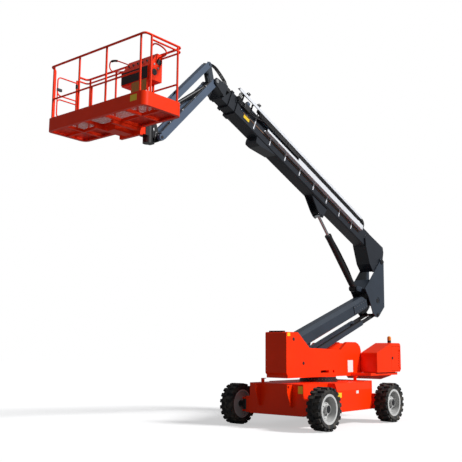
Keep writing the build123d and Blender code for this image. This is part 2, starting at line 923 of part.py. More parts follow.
def make_boom_base():
    """Base section with its tail plates, cylinder bracket, front stiffener and wear ring."""
    half, low, high, cuts = boom_section(0)
    body = tube(half, low, high, boom_wall, cuts, boom_start, boom_end)
    body += wear_ring(half, low, high, cuts, collar_thick, boom_wall + section_step,
                      boom_end - collar_len, boom_end)
    tail = side_plate(
        [
            (887, 206),
            (800, 389),
            (7, 409),
            (-70, 300),
            (-100, 60),
            (-90, -40),
            (0, -190),
            (222, -406),
            (461, -299),
            (782, low + 1),
        ],
        tail_inner - tail_plate,
        tail_inner + tail_plate,
    )
    body += mirrored(tail)
    web = side_plate(
        [
            (782, low + 1),
            (461, -299),
            (235, -400),
            (245, -388),
            (454, -288),
            (765, low + 12),
            (800, low + 12),
            (800, low + 1),
        ],
        -tail_inner + tail_plate - 1,
        tail_inner - tail_plate + 1,
    )
    body += web
    cover = block(30, 790, -tail_inner, tail_inner, 376, 388)
    body += cover
    body -= rod_y(0, 0, boom_pin_r + pin_gap, -400, 400)
    lug_in = boom_barrel_r + 10
    lug = side_plate(
        [
            (3260, low + 2),
            (2900, -190),
            (boom_lug_s + 60, boom_lug_n - 45),
            (boom_lug_s - 45, boom_lug_n - 45),
            (2570, low + 2),
        ],
        lug_in,
        lug_in + 22,
    )
    lug += rod_y(boom_lug_s, boom_lug_n, boom_cyl_pin_r, lug_in - 6, lug_in + 34)
    body += mirrored(lug)
    stiffener = side_plate(
        [
            (4800, low + 1),
            (5350, -98),
            (5480, -100),
            (5500, -60),
            (5500, low + 1),
        ],
        -half + 6,
        half - 6,
    )
    body += stiffener
    return boom_frame * body


def make_boom_mid():
    half, low, high, cuts = boom_section(1)
    start = mid_end - (boom_end - boom_start)
    body = tube(half, low, high, boom_wall, cuts, start, mid_end)
    body += wear_ring(half, low, high, cuts, collar_thick, boom_wall + section_step, mid_end - 60, mid_end)
    return boom_frame * body


def make_boom_fly():
    """Fly section, closed by the head that carries the jib's upright."""
    half, low, high, cuts = boom_section(2)
    start = fly_end - (boom_end - boom_start)
    body = tube(half, low, high, boom_wall, cuts, start, fly_end)
    collar_half = half + collar_thick
    collar = section(collar_half, low - collar_thick, high + collar_thick, 20, 20)
    body += beam(collar, fly_end - 60, fly_end)
    fork_in = jib_fork_plate[0]
    fork_out = jib_fork_plate[1]
    body += block(fly_end - 60, fly_end, -fork_out, fork_out, low + 40, high - 30)
    fork = side_plate(
        [
            (fly_end - 60, low + 40),
            (fly_end - 60, high - 30),
            (jib_pivot_s - 20, jib_pivot_n + 75),
            (jib_pivot_s + 45, jib_pivot_n + 58),
            (jib_pivot_s + 72, jib_pivot_n),
            (jib_pivot_s + 45, jib_pivot_n - 58),
            (jib_pivot_s - 30, jib_pivot_n - 80),
        ],
        fork_in,
        fork_out,
    )
    body += mirrored(fork)
    body += rod_y(jib_pivot_s, jib_pivot_n, jib_pin_r, -fork_out - 8, fork_out + 8)
    return boom_frame * body


def make_cable_tray():
    """Galvanised tray along the left side, deep to the middle and shallow beyond."""
    half = boom_half_width
    deep = block(tray_start, tray_end, half, tray_out, tray_low, tray_high)
    deep -= block(tray_start - 1, tray_end + 1, half + 6, tray_out - 5, tray_low + 6, tray_high + 1)
    shallow = block(tray_end, chain_end - 400, half, tray_out, tray_low, tray_low + 50)
    shallow -= block(tray_end - 1, chain_end - 399, half + 6, tray_out - 5, tray_low + 6, tray_high)
    rail_low = chain_high + 6
    rail = block(chain_start + 350, chain_end + 60, half + 30, tray_out, rail_low, rail_low + 8)
    posts = deep + shallow
    stations = 7
    pitch = (chain_end - chain_start - 500) / stations
    for n in range(stations + 1):
        x = chain_start + 420 + n * pitch
        posts += block(x, x + 30, half, half + 8, boom_bottom + 60, rail_low + 8)
        posts += block(x, x + 30, half, half + 40, rail_low, rail_low + 8)
    return boom_frame * (posts + rail)


def make_cable_chain():
    """The energy chain: lower run in the tray, a turn at the rear and the upper run back."""
    inner = boom_half_width + 14
    outer = tray_out - 9
    low = tray_low + 6 + seat_gap
    link_high = 62
    mid = (low + chain_high) / 2
    radius = (chain_high - low) / 2
    turn = rod_y(chain_start + radius, mid, radius, inner, outer)
    turn -= rod_y(chain_start + radius, mid, radius - link_high, inner - 1, outer + 1)
    turn -= block(chain_start + radius, chain_start + 2 * radius + 1, inner - 1, outer + 1, low - 1,
                  chain_high + 1)
    upper = block(chain_start + radius, chain_end, inner, outer, chain_high - link_high, chain_high)
    lower = block(chain_start + radius, tray_end + 700, inner, outer, low, low + link_high)
    return boom_frame * (turn + upper + lower)


# Jib
def make_jib_upright():
    """Bracket on the boom's head that holds both jib pivots and stays level."""
    y0, y1 = jib_inner_plate
    plate = side_plate(
        [
            (jib_x - 62, jib_z - 30),
            (jib_x, jib_z - 66),
            (jib_x + 62, jib_z - 30),
            (jib_x + 120, jib_z + 150),
            (jib_top_x + 62, jib_top_z - 20),
            (jib_top_x + 45, jib_top_z + 45),
            (jib_top_x - 20, jib_top_z + 62),
            (jib_top_x - 60, jib_top_z + 20),
            (jib_x - 30, jib_z + 130),
        ],
        y0,
        y1,
    )
    plate -= rod_y(jib_x, jib_z, jib_pin_r + pin_gap, y0 - 1, y1 + 1)
    plate += rod_y(jib_top_x, jib_top_z, jib_pin_r, y0, jib_link_out + 8)
    body = mirrored(plate)
    body += block(jib_x + 5, jib_x + 20, -y0 - 1, y0 + 1, jib_z + 190, jib_z + 230)
    return body


def make_jib_lower_arm():
    """Two parallel box arms with eyes at both ends and a cross tube between them."""
    y0 = jib_arm_in
    y1 = jib_arm_out
    half_h = jib_arm_height / 2
    arm = block(40, jib_length - 40, y0, y1, -half_h, half_h)
    arm -= block(90, jib_length - 90, y0 + jib_wall, y1 - jib_wall, -half_h + jib_wall, half_h - jib_wall)
    for s in (0, jib_length):
        arm += rod_y(s, 0, jib_eye_r, y0, y1)
        arm -= rod_y(s, 0, jib_pin_r + pin_gap, y0 - 1, y1 + 1)
    tie = rod_y(jib_length * 0.45, -half_h + 25, 22, -y0 - 1, y0 + 1)
    return jib_frame * (mirrored(arm) + tie)


def make_jib_upper_arm():
    """The upper arm, a channel open below, which the cylinder lies in."""
    y0 = jib_link_in
    y1 = jib_link_out
    cheek = block(30, jib_length - 30, y0, y1, jib_link_low, jib_link_high)
    for s in (0, jib_length):
        cheek += rod_y(s, 0, 48, y0, y1)
        cheek -= rod_y(s, 0, jib_pin_r + pin_gap, y0 - 1, y1 + 1)
    top = block(130, jib_length - 900, -y0 - 1, y0 + 1, jib_link_high - jib_wall, jib_link_high)
    return jib_top_frame * (mirrored(cheek) + top)


def make_jib_head():
    """End bracket of the jib: inner plates, and the yoke above and below the turning drum."""
    y0, y1 = jib_inner_plate
    plate = side_plate(
        [
            (jib_end_x - 55, jib_end_z - 25),
            (jib_end_x - 20, jib_end_z - 62),
            (rotator_x - 60, rotator_low - bearing_gap - yoke_plate_thick),
            (rotator_x - 60, rotator_low - bearing_gap),
            (rotator_x - rotator_r - 20, rotator_low - bearing_gap),
            (rotator_x - rotator_r - 20, rotator_high + bearing_gap),
            (rotator_x - 60, rotator_high + bearing_gap),
            (rotator_x - 60, rotator_high + bearing_gap + yoke_plate_thick),
            (jib_top_end_x + 55, jib_top_end_z + 20),
            (jib_top_end_x, jib_top_end_z + 58),
            (jib_top_end_x - 50, jib_top_end_z + 15),
            (jib_top_end_x - 40, jib_top_end_z - 80),
        ],
        y0,
        y1,
    )
    body = mirrored(plate)
    for low in (rotator_low - bearing_gap - yoke_plate_thick, rotator_high + bearing_gap):
        high = low + yoke_plate_thick
        body += block(rotator_x - rotator_r - 20, rotator_x, -y1, y1, low, high)
        body += rod_z(rotator_x, 0, rotator_r, low, high)
    body += rod_y(jib_end_x, jib_end_z, jib_pin_r, -jib_arm_out - 10, jib_arm_out + 10)
    body += mirrored(rod_y(jib_top_end_x, jib_top_end_z, jib_pin_r, y0, jib_link_out + 8))
    return body


# Platform
def rounded_ring(inset, z0, z1):
    """The platform's plan, moved in by inset, as a solid with round corners."""
    plan = RectangleRounded(platform_depth - 2 * inset, platform_length - 2 * inset, toe_corner - inset)
    return extrude(Pos(platform_mid_x, 0, z0) * plan, amount=z1 - z0)


def make_platform_rotator():
    """The turning drum in the jib's yoke, with its arm."""
    body = rod_z(rotator_x, 0, rotator_r, rotator_low, rotator_high)
    return body + block(rotator_x, rotator_arm_x, -80, 80, rotator_low + 85, rotator_high - 25)


def make_platform_support():
    """The arm on the turning drum, and the beams under the floor."""
    reach = platform_rear - seat_gap
    low = platform_bottom - seat_gap
    plate = 30
    body = block(rotator_arm_x + seat_gap, reach, -70, 70, rotator_low + 95, rotator_high - 35)
    body += block(reach - plate, reach, -260, 260, rotator_low - 10, rotator_high + 30)
    foot = block(reach - plate, reach + 30, -260, 260, rotator_low - 10, low)
    body += foot
    body += block(reach, platform_front - 420, -90, 90, low - 100, low)
    arm = block(reach, platform_front - 250, 190, 250, low - 60, low)
    return body + mirrored(arm)


def make_platform_base():
    """Toe board and floor frame."""
    top = platform_bottom + toe_height
    body = rounded_ring(0, platform_bottom, top) - rounded_ring(toe_wall, platform_bottom - 1, top + 1)
    ledge = rounded_ring(toe_wall - 1, platform_bottom, platform_bottom + 6)
    ledge -= rounded_ring(60, platform_bottom - 1, platform_bottom + 7)
    body += ledge
    bays = 5
    pitch = platform_length / bays
    for n in range(1, bays):
        y = -platform_half + n * pitch
        body += block(platform_rear + 4, platform_front - 4, y - 20, y + 20, platform_bottom, deck_z)
    body += block(platform_mid_x - 20, platform_mid_x + 20, -platform_half + 4, platform_half - 4,
                  platform_bottom, deck_z)
    return body


def make_platform_deck():
    """The floor sheet, lying on the floor frame."""
    return rounded_ring(toe_wall + seat_gap, deck_z + seat_gap, deck_z + deck_thick)


def bent_tube(points, bend, radius):
    """A round tube along straight runs with round bends."""
    path = FilletPolyline(*points, radius=bend)
    return sweep(Plane(origin=path @ 0, z_dir=path % 0) * Circle(radius), path)


def make_platform_rails():
    """Posts, top rails and mid rails, open at both short sides below the upper bars."""
    foot = deck_z + deck_thick + seat_gap
    far_post = gate_hinge_x - 45
    body = bent_tube(
        [
            (far_post, -rail_side_y, rail_top),
            (rail_rear_x, -rail_side_y, rail_top),
            (rail_rear_x, rail_side_y, rail_top),
            (rail_front_x, rail_side_y, rail_top),
            (rail_front_x, -rail_side_y, rail_top),
            (gate_end_x + 20, -rail_side_y, rail_top),
            (gate_end_x + 20, -rail_side_y, foot),
        ],
        60,
        rail_r,
    )
    thin = rail_r * 0.8
    body += bent_tube(
        [
            (bar_post_x, rail_side_y, bar_z),
            (rail_rear_x, rail_side_y, bar_z),
            (rail_rear_x, -rail_side_y, bar_z),
            (far_post, -rail_side_y, bar_z),
        ],
        60,
        thin,
    )
    posts = (
        (rail_front_x, -rail_side_y + 90, rail_top),
        (rail_front_x, -400, rail_top),
        (rail_front_x, -60, rail_mid),
        (rail_front_x, 290, rail_top),
        (rail_front_x, rail_side_y - 90, rail_top),
        (bar_post_x, rail_side_y, rail_top),
        (rail_rear_x + 80, rail_side_y, rail_top),
        (rail_rear_x, 420, rail_top),
        (rail_rear_x, -400, rail_top),
        (rail_rear_x, -rail_side_y + 80, rail_top),
        (far_post, -rail_side_y, rail_top),
    )
    for x, y, top in posts:
        body += rod_z(x, y, rail_r - 1, foot, top - 3)
    for x in (rail_front_x, rail_rear_x):
        body += rod_y(x, rail_mid, thin, -rail_side_y + 82, rail_side_y - 92)
    hinge = block(far_post, gate_hinge_x, -rail_side_y - 6, -rail_side_y + 6, 0, 20)
    hinge += rod_z(gate_hinge_x, -rail_side_y, 18, 0, 20)
    for z in (gate_low - 20 - seat_gap, gate_high + pin_gap):
        body += Pos(0, 0, z) * hinge
    return body


def make_platform_gate():
    """The inward gate in the right short side: two bent tubes on a hinge post."""
    r = 12
    low = gate_low + 30
    high = gate_high - 30
    end = gate_end_x - 40
    body = rod_z(gate_hinge_x, gate_hinge_y, r * 1.5, gate_low, gate_high)
    start = gate_hinge_x + r
    for z0, z1 in ((low, low + 330), (low + 400, high)):
        run = [
            (start, gate_hinge_y, z0),
            (end, gate_hinge_y, z0),
            (end, gate_hinge_y, z1),
            (start, gate_hinge_y, z1),
        ]
        body += bent_tube(run, 70, r)
    body += rod_z(end, gate_hinge_y, r * 0.9, low + 240, low + 490)
    return body


def make_control_panel():
    """Console box inside the rear rail, with its dark panel and the sign plate."""
    x0 = rail_rear_x + rail_r + seat_gap
    panel_thick = 14
    x1 = console_front - panel_thick
    console = side_plate(
        [
            (x0, console_low),
            (x1, console_low),
            (x1, console_low + 250),
            (x0 + 120, console_high),
            (x0, console_high),
        ],
        console_far,
        console_near,
    )
    panel = block(x1, console_front, console_far, console_near - 40, console_low + 20, console_low + 240)
    sign = block(x1, console_front, 330, 710, console_low - 180, console_low + 20)
    leg_top = console_low + 1
    floor = deck_z + deck_thick + seat_gap
    leg = block(x0, x0 + 30, console_near - 200, console_near - 170, floor, leg_top)
    other = block(x0, x0 + 30, console_far + 120, console_far + 150, floor, leg_top)
    return console + panel + sign + leg + other


# Doors, as rear and front edge along X and low and high edge
left_door = (counterweight_rear + 55, cabinet_ridge + 5, cabinet_bottom + 35, cabinet_top - 80)
right_door = (right_rear + 120, right_rear + 810, cabinet_bottom + 60, bump_z - 130)


def build_nodes():
    """Every piece by name, in the working frame."""
    pieces = {}
    pieces["chassis_frame"] = make_chassis()
    pieces["tie_down_lugs"] = make_tie_down_lugs()
    pieces["front_axle"] = make_axle(front_axle_x, True)
    pieces["rear_axle"] = make_axle(rear_axle_x, False)
    pieces["slew_ring"] = rod_z(0, 0, ring_dia / 2 + 30, chassis_top, chassis_top + ring_height)
    pieces["steer_knuckle_left"] = make_steer_knuckle(1)
    pieces["steer_knuckle_right"] = make_steer_knuckle(-1)
    tyre = make_tyre()
    rim = make_rim()
    for end, x in (("front", front_axle_x), ("rear", rear_axle_x)):
        for hand, side, turn in (("left", 1, 0), ("right", -1, 180)):
            place = Pos(x, side * track / 2, axle_z) * Rot(0, 0, turn)
            pieces[f"tyre_{end}_{hand}"] = place * tyre
            pieces[f"rim_{end}_{hand}"] = place * rim
    pieces["turntable_frame"] = make_turntable_frame()
    pieces["turntable_covers"] = make_turntable_covers()
    pieces["front_cap"] = make_front_cap()
    pieces["counterweight"] = make_counterweight()
    pieces["left_cabinet"] = make_cabinet(cabinet_outline(), counterweight_rear + 200, cabinet_front - 70,
                                          left_door)
    right = make_cabinet(right_cabinet_outline(), right_rear + 150, right_front - 730, right_door)
    pieces["right_cabinet"] = mirror(right, about=Plane.XZ)
    pieces["left_cabinet_door"] = make_cabinet_door(left_door)
    pieces["right_cabinet_door"] = mirror(make_cabinet_door(right_door), about=Plane.XZ)
    pieces["left_battery"] = make_battery(counterweight_rear + 80, cabinet_front - 120)
    pieces["right_battery"] = mirror(make_battery(right_rear + 130, right_front - 630), about=Plane.XZ)
    pieces["beacon"] = make_beacon()
    pieces["riser_base"] = make_riser_base()
    pieces["riser_extension"] = make_riser_extension()
    pieces["link_base"] = make_link_base()
    pieces["link_extension"] = make_link_extension()
    pieces["riser_chain"] = make_riser_chain()
    barrel, rod = cylinder_pair((riser_cyl_x, riser_cyl_z, riser_lug_x, riser_lug_z), riser_barrel_r,
                                riser_rod_r, riser_barrel_len, riser_rod_len, riser_bore_start, 30, 40)
    pieces["riser_cylinder"] = barrel
    pieces["riser_rod"] = rod
    pieces["boom_upright"] = make_boom_upright()
    pieces["boom_base"] = make_boom_base()
    pieces["boom_mid"] = make_boom_mid()
    pieces["boom_fly"] = make_boom_fly()
    barrel, rod = cylinder_pair((boom_cyl_x, boom_cyl_z, boom_lug_x, boom_lug_z), boom_barrel_r,
                                boom_rod_r, boom_barrel_len, boom_rod_len, boom_bore_start,
                                boom_cyl_pin_r, 70)
    pieces["boom_cylinder"] = barrel
    pieces["boom_rod"] = rod
    pieces["cable_tray"] = make_cable_tray()
    pieces["cable_chain"] = make_cable_chain()
    pieces["jib_upright"] = make_jib_upright()
    pieces["jib_lower_arm"] = make_jib_lower_arm()
    pieces["jib_upper_arm"] = make_jib_upper_arm()
    barrel, rod = cylinder_pair((jib_x, jib_z, jib_top_end_x, jib_top_end_z), jib_barrel_r,
                                jib_rod_r, jib_barrel_len, jib_rod_len, jib_bore_start, jib_pin_r,
                                jib_cyl_half)
    pieces["jib_cylinder"] = barrel
    pieces["jib_rod"] = rod
    pieces["jib_head"] = make_jib_head()
    pieces["platform_rotator"] = make_platform_rotator()
    pieces["platform_support"] = make_platform_support()
    pieces["platform_base"] = make_platform_base()
    pieces["platform_deck"] = make_platform_deck()
    pieces["platform_rails"] = make_platform_rails()
    pieces["platform_gate"] = make_platform_gate()
    pieces["control_panel"] = make_control_panel()
    return pieces


nodes = build_nodes()
boxes = [shape.bounding_box() for shape in nodes.values()]
shift_x = -(min(box.min.X for box in boxes) + max(box.max.X for box in boxes)) / 2
os.makedirs("parts", exist_ok=True)
for name, shape in nodes.items():
    export_step(Pos(shift_x, 0, 0) * shape, f"parts/{name}.step")
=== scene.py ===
# Looks of the boom lift: materials, dressing finer than the solids, studio and camera
import json
import math

import bmesh
import bpy
from mathutils import Matrix, Vector

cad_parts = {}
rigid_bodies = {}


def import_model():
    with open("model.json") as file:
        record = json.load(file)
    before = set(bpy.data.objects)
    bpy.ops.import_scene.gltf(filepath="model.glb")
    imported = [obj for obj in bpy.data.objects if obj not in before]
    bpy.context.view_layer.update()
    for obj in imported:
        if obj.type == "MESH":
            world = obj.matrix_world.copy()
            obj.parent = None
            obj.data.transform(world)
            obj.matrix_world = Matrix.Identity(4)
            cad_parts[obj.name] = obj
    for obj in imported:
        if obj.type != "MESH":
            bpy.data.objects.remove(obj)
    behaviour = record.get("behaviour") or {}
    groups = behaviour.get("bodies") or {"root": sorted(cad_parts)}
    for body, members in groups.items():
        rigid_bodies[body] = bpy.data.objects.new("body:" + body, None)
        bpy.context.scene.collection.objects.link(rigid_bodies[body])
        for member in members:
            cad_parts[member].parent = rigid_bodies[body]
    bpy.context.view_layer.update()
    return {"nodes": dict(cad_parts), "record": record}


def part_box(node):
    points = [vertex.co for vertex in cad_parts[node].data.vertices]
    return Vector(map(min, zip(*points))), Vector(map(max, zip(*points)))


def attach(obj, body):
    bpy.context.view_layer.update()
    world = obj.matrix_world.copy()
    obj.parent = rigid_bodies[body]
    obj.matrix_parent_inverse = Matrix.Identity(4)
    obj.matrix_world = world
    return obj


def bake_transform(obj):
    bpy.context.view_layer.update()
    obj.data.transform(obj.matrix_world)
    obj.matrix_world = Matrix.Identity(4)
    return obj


for start_object in list(bpy.data.objects):
    bpy.data.objects.remove(start_object)
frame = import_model()
nodes = frame["nodes"]
scene = bpy.context.scene

# Faces and places in the machine's own frame, in metres: X forward, Y left, Z up
NOSE_X = 1.600
CHASSIS_Y = 0.900
COVER_Y = 0.270
DOOR_LATCH_Y = 0.722
DOOR_LATCH_Z = 1.400
AXLES = (("front", 1.490), ("rear", -1.200))
AXLE_Z = 0.430
WHEEL_Y = 1.095
TOE_BOARD_X = 6.668
CONSOLE_X = 6.130
CONSOLE_LEFT_Y = 0.770
HANDS = (("left", 1), ("right", -1))
SIDES = (1, -1)

# Places along the main boom, in its own axes
BOOM_Y = 0.150
TRAY_Y = 0.2395
GUIDE_Z = 0.549
GUIDE_END = 6.450
PORT_Y = 0.182
PORT_HEIGHTS = (0.295, 0.335, 0.375)

# Frames of the tilted members, as place in X and Z and angle above forward
PIVOT = (-2.640, 3.800)
BOOM_ANGLE = 22.5
RISER_FOOT = (1.382, 1.498)
RISER_ANGLE = -19.0
LINK_FOOT = (1.402, 1.153)
JIB_PIVOT = (3.760, 6.7355)
JIB_ANGLE = -45.2

# The row frame has its origin under the middle of the whole machine.
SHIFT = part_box("chassis_frame")[1][0] - NOSE_X


def frame_at(x, z, angle=0.0):
    """Matrix from a member's own axes to the row frame."""
    return Matrix.Translation((x + SHIFT, 0, z)) @ Matrix.Rotation(-math.radians(angle), 4, "Y")


WORLD = frame_at(0, 0)
BOOM = frame_at(*PIVOT, BOOM_ANGLE)
RISER = frame_at(*RISER_FOOT, RISER_ANGLE)
LINK = frame_at(*LINK_FOOT, RISER_ANGLE)
JIB = frame_at(*JIB_PIVOT, JIB_ANGLE)


# Materials
def new_material(name):
    mat = bpy.data.materials.new(name)
    mat.use_nodes = True
    tree = mat.node_tree
    return mat, tree, tree.nodes["Principled BSDF"]


def noise_at(tree, scale, detail=4.0):
    coords = tree.nodes.new("ShaderNodeTexCoord")
    noise = tree.nodes.new("ShaderNodeTexNoise")
    noise.inputs["Scale"].default_value = scale
    noise.inputs["Detail"].default_value = detail
    tree.links.new(coords.outputs["Object"], noise.inputs["Vector"])
    return noise


def ramp_between(tree, source, span, dark, light):
    """Colour that runs from dark to light while the source runs over the span."""
    ramp = tree.nodes.new("ShaderNodeValToRGB")
    ramp.color_ramp.elements[0].position = span[0]
    ramp.color_ramp.elements[1].position = span[1]
    ramp.color_ramp.elements[0].color = (*dark, 1)
    ramp.color_ramp.elements[1].color = (*light, 1)
    tree.links.new(source, ramp.inputs["Fac"])
    return ramp


def painted(name, color, rough, worn, coat=0.0, metal=0.0, scale=2.2, shine=0.5):
    """A paint with a faint cloudy unevenness in colour and gloss."""
    cloud_span = (0.35, 0.7)
    smoother = 0.05
    rougher = 0.08
    mat, tree, bsdf = new_material(name)
    bsdf.inputs["Specular IOR Level"].default_value = shine
    noise = noise_at(tree, scale)
    darker = tuple(c * worn for c in color)
    ramp = ramp_between(tree, noise.outputs["Fac"], cloud_span, darker, color)
    tree.links.new(ramp.outputs["Color"], bsdf.inputs["Base Color"])
    fine = noise_at(tree, scale=40, detail=2.0)
    spread = tree.nodes.new("ShaderNodeMapRange")
    spread.inputs["To Min"].default_value = rough - smoother
    spread.inputs["To Max"].default_value = rough + rougher
    tree.links.new(fine.outputs["Fac"], spread.inputs["Value"])
    tree.links.new(spread.outputs["Result"], bsdf.inputs["Roughness"])
    bsdf.inputs["Coat Weight"].default_value = coat
    bsdf.inputs["Metallic"].default_value = metal
    return mat


def tyre_material():
    """Black rubber with patches of beige dust, and a fine grain."""
    rubber = (0.010, 0.011, 0.013)
    dust = (0.075, 0.065, 0.052)
    mat, tree, bsdf = new_material("tyre_rubber_worn")
    noise = noise_at(tree, scale=9, detail=6.0)
    ramp = ramp_between(tree, noise.outputs["Fac"], (0.44, 0.68), rubber, dust)
    tree.links.new(ramp.outputs["Color"], bsdf.inputs["Base Color"])
    bsdf.inputs["Roughness"].default_value = 0.85
    bump = tree.nodes.new("ShaderNodeBump")
    bump.inputs["Strength"].default_value = 0.25
    bump.inputs["Distance"].default_value = 0.004
    grain = noise_at(tree, scale=70, detail=3.0)
    tree.links.new(grain.outputs["Fac"], bump.inputs["Height"])
    tree.links.new(bump.outputs["Normal"], bsdf.inputs["Normal"])
    return mat


def amber_material():
    """Glossy amber plastic of the beacon."""
    deep = (0.85, 0.22, 0.01)
    bright = (1.0, 0.35, 0.03)
    mat, tree, bsdf = new_material("beacon_amber")
    noise = noise_at(tree, scale=30)
    ramp = ramp_between(tree, noise.outputs["Fac"], (0.3, 0.7), deep, bright)
    tree.links.new(ramp.outputs["Color"], bsdf.inputs["Base Color"])
    bsdf.inputs["Roughness"].default_value = 0.15
    bsdf.inputs["Coat Weight"].default_value = 0.6
    return mat


def mesh_material():
    """Red perforated sheet: rows of round holes that let the light through."""
    holes_per_metre = 40
    hole_radius_in_cells = 0.40
    deep = (0.55, 0.03, 0.01)
    bright = (0.72, 0.05, 0.02)
    mat, tree, bsdf = new_material("deck_perforated")
    coords = tree.nodes.new("ShaderNodeTexCoord")
    holes = tree.nodes.new("ShaderNodeTexVoronoi")
    holes.inputs["Scale"].default_value = holes_per_metre
    holes.inputs["Randomness"].default_value = 0.0
    holes.voronoi_dimensions = "2D"
    tree.links.new(coords.outputs["Object"], holes.inputs["Vector"])
    edge = tree.nodes.new("ShaderNodeMath")
    edge.operation = "GREATER_THAN"
    edge.inputs[1].default_value = hole_radius_in_cells
    tree.links.new(holes.outputs["Distance"], edge.inputs[0])
    tree.links.new(edge.outputs["Value"], bsdf.inputs["Alpha"])
    noise = noise_at(tree, scale=3)
    ramp = ramp_between(tree, noise.outputs["Fac"], (0.3, 0.7), deep, bright)
    tree.links.new(ramp.outputs["Color"], bsdf.inputs["Base Color"])
    bsdf.inputs["Roughness"].default_value = 0.5
    return mat


MATS = {
    "paint": painted(
        "orange_red_paint", (1.0, 0.035, 0.0), rough=0.38, worn=0.90, coat=0.03, shine=0.22
    ),
    "boom_paint": painted("boom_grey_paint", (0.026, 0.037, 0.054), rough=0.38, worn=0.80, coat=0.2),
    "jib_paint": painted("jib_blue_grey_paint", (0.070, 0.105, 0.165), rough=0.40, worn=0.85, coat=0.15),
    "black_paint": painted("black_paint_satin", (0.010, 0.010, 0.012), rough=0.42, worn=0.70, coat=0.15),
    "rim_paint": painted("rim_light_grey", (0.56, 0.56, 0.55), rough=0.45, worn=0.85, coat=0.1),
    "rod_chrome": painted("rod_chrome_bright", (0.72, 0.73, 0.75), rough=0.14, worn=0.95, metal=1.0),
    "galvanised": painted(
        "galvanised_sheet", (0.78, 0.80, 0.84), rough=0.45, worn=0.90, metal=0.1, scale=14
    ),
    "black_plastic": painted("black_plastic_matte", (0.014, 0.014, 0.016), rough=0.60, worn=0.75),
    "tyre_rubber": tyre_material(),
    "amber_plastic": amber_material(),
    "deck_mesh": mesh_material(),
}
YELLOW = painted("sticker_yellow", (0.92, 0.62, 0.02), rough=0.40, worn=0.92, coat=0.1)
WHITE = painted("sticker_white", (0.80, 0.80, 0.78), rough=0.45, worn=0.94, coat=0.1)
BROWN = painted("strip_brown", (0.20, 0.10, 0.05), rough=0.55, worn=0.85)
STRIP = painted("strip_blue_grey", (0.16, 0.21, 0.28), rough=0.40, worn=0.90, coat=0.2)
ZINC = painted("zinc_steel", (0.34, 0.35, 0.36), rough=0.40, worn=0.80, metal=0.85, scale=20)
TAN = painted("sign_yellow_brown", (0.42, 0.28, 0.05), rough=0.50, worn=0.85)
# A darker copy of the boom paint for the boom's sections: painted shade, for their sides that lie in the
# chain tray's shadow
BOOM_PAINTED_SHADE = painted("boom_grey_painted_shade", (0.014, 0.018, 0.026), rough=0.36, worn=0.80, coat=0.2)


# The solids: their materials, and how their edges and round faces look
# The boom's sections, which take the darker copy of the boom paint as painted shade
NODES_IN_PAINTED_SHADE = ("boom_base", "boom_mid", "boom_fly")
SOFT_EDGED = (
    "chassis_frame", "turntable_covers", "left_cabinet", "right_cabinet", "left_cabinet_door",
    "right_cabinet_door", "counterweight", "boom_upright", "platform_support", "boom_base",
    "jib_lower_arm", "control_panel", "tie_down_lugs", "front_axle", "rear_axle",
)
ROUND_STARTS = ("rim_", "riser_cylinder", "boom_cylinder", "jib_cylinder", "beacon")
ROUND_NODES = ("platform_rails", "platform_gate", "slew_ring")
EDGE_WIDTH = 0.006
EDGE_ANGLE = math.radians(35)


def paint_solids():
    """Each solid gets the material of its slot. The boom's sections get a darker copy of the boom paint
    instead: painted shade.
    """
    slot_of = {part["node"]: part["material_slot"] for part in frame["record"]["subparts"]}
    for node_name, obj in nodes.items():
        material = BOOM_PAINTED_SHADE if node_name in NODES_IN_PAINTED_SHADE else MATS[slot_of[node_name]]
        if obj.material_slots:
            for place in obj.material_slots:
                place.material = material
        else:
            obj.data.materials.append(material)


def soften_solids():
    """Small bevels on the painted plates, and smooth shading on what is round."""
    for node_name in SOFT_EDGED:
        edge = nodes[node_name].modifiers.new("edge", "BEVEL")
        edge.width = EDGE_WIDTH
        edge.segments = 2
        edge.limit_method = "ANGLE"
        edge.angle_limit = EDGE_ANGLE
        edge.harden_normals = True
    for node_name, obj in nodes.items():
        if node_name.startswith(ROUND_STARTS) or node_name.endswith("_rod") or node_name in ROUND_NODES:
            obj.data.shade_smooth()
            split = obj.modifiers.new("edge", "EDGE_SPLIT")
            split.split_angle = EDGE_ANGLE


# Making pieces
STICKER_THICK = 0.0015


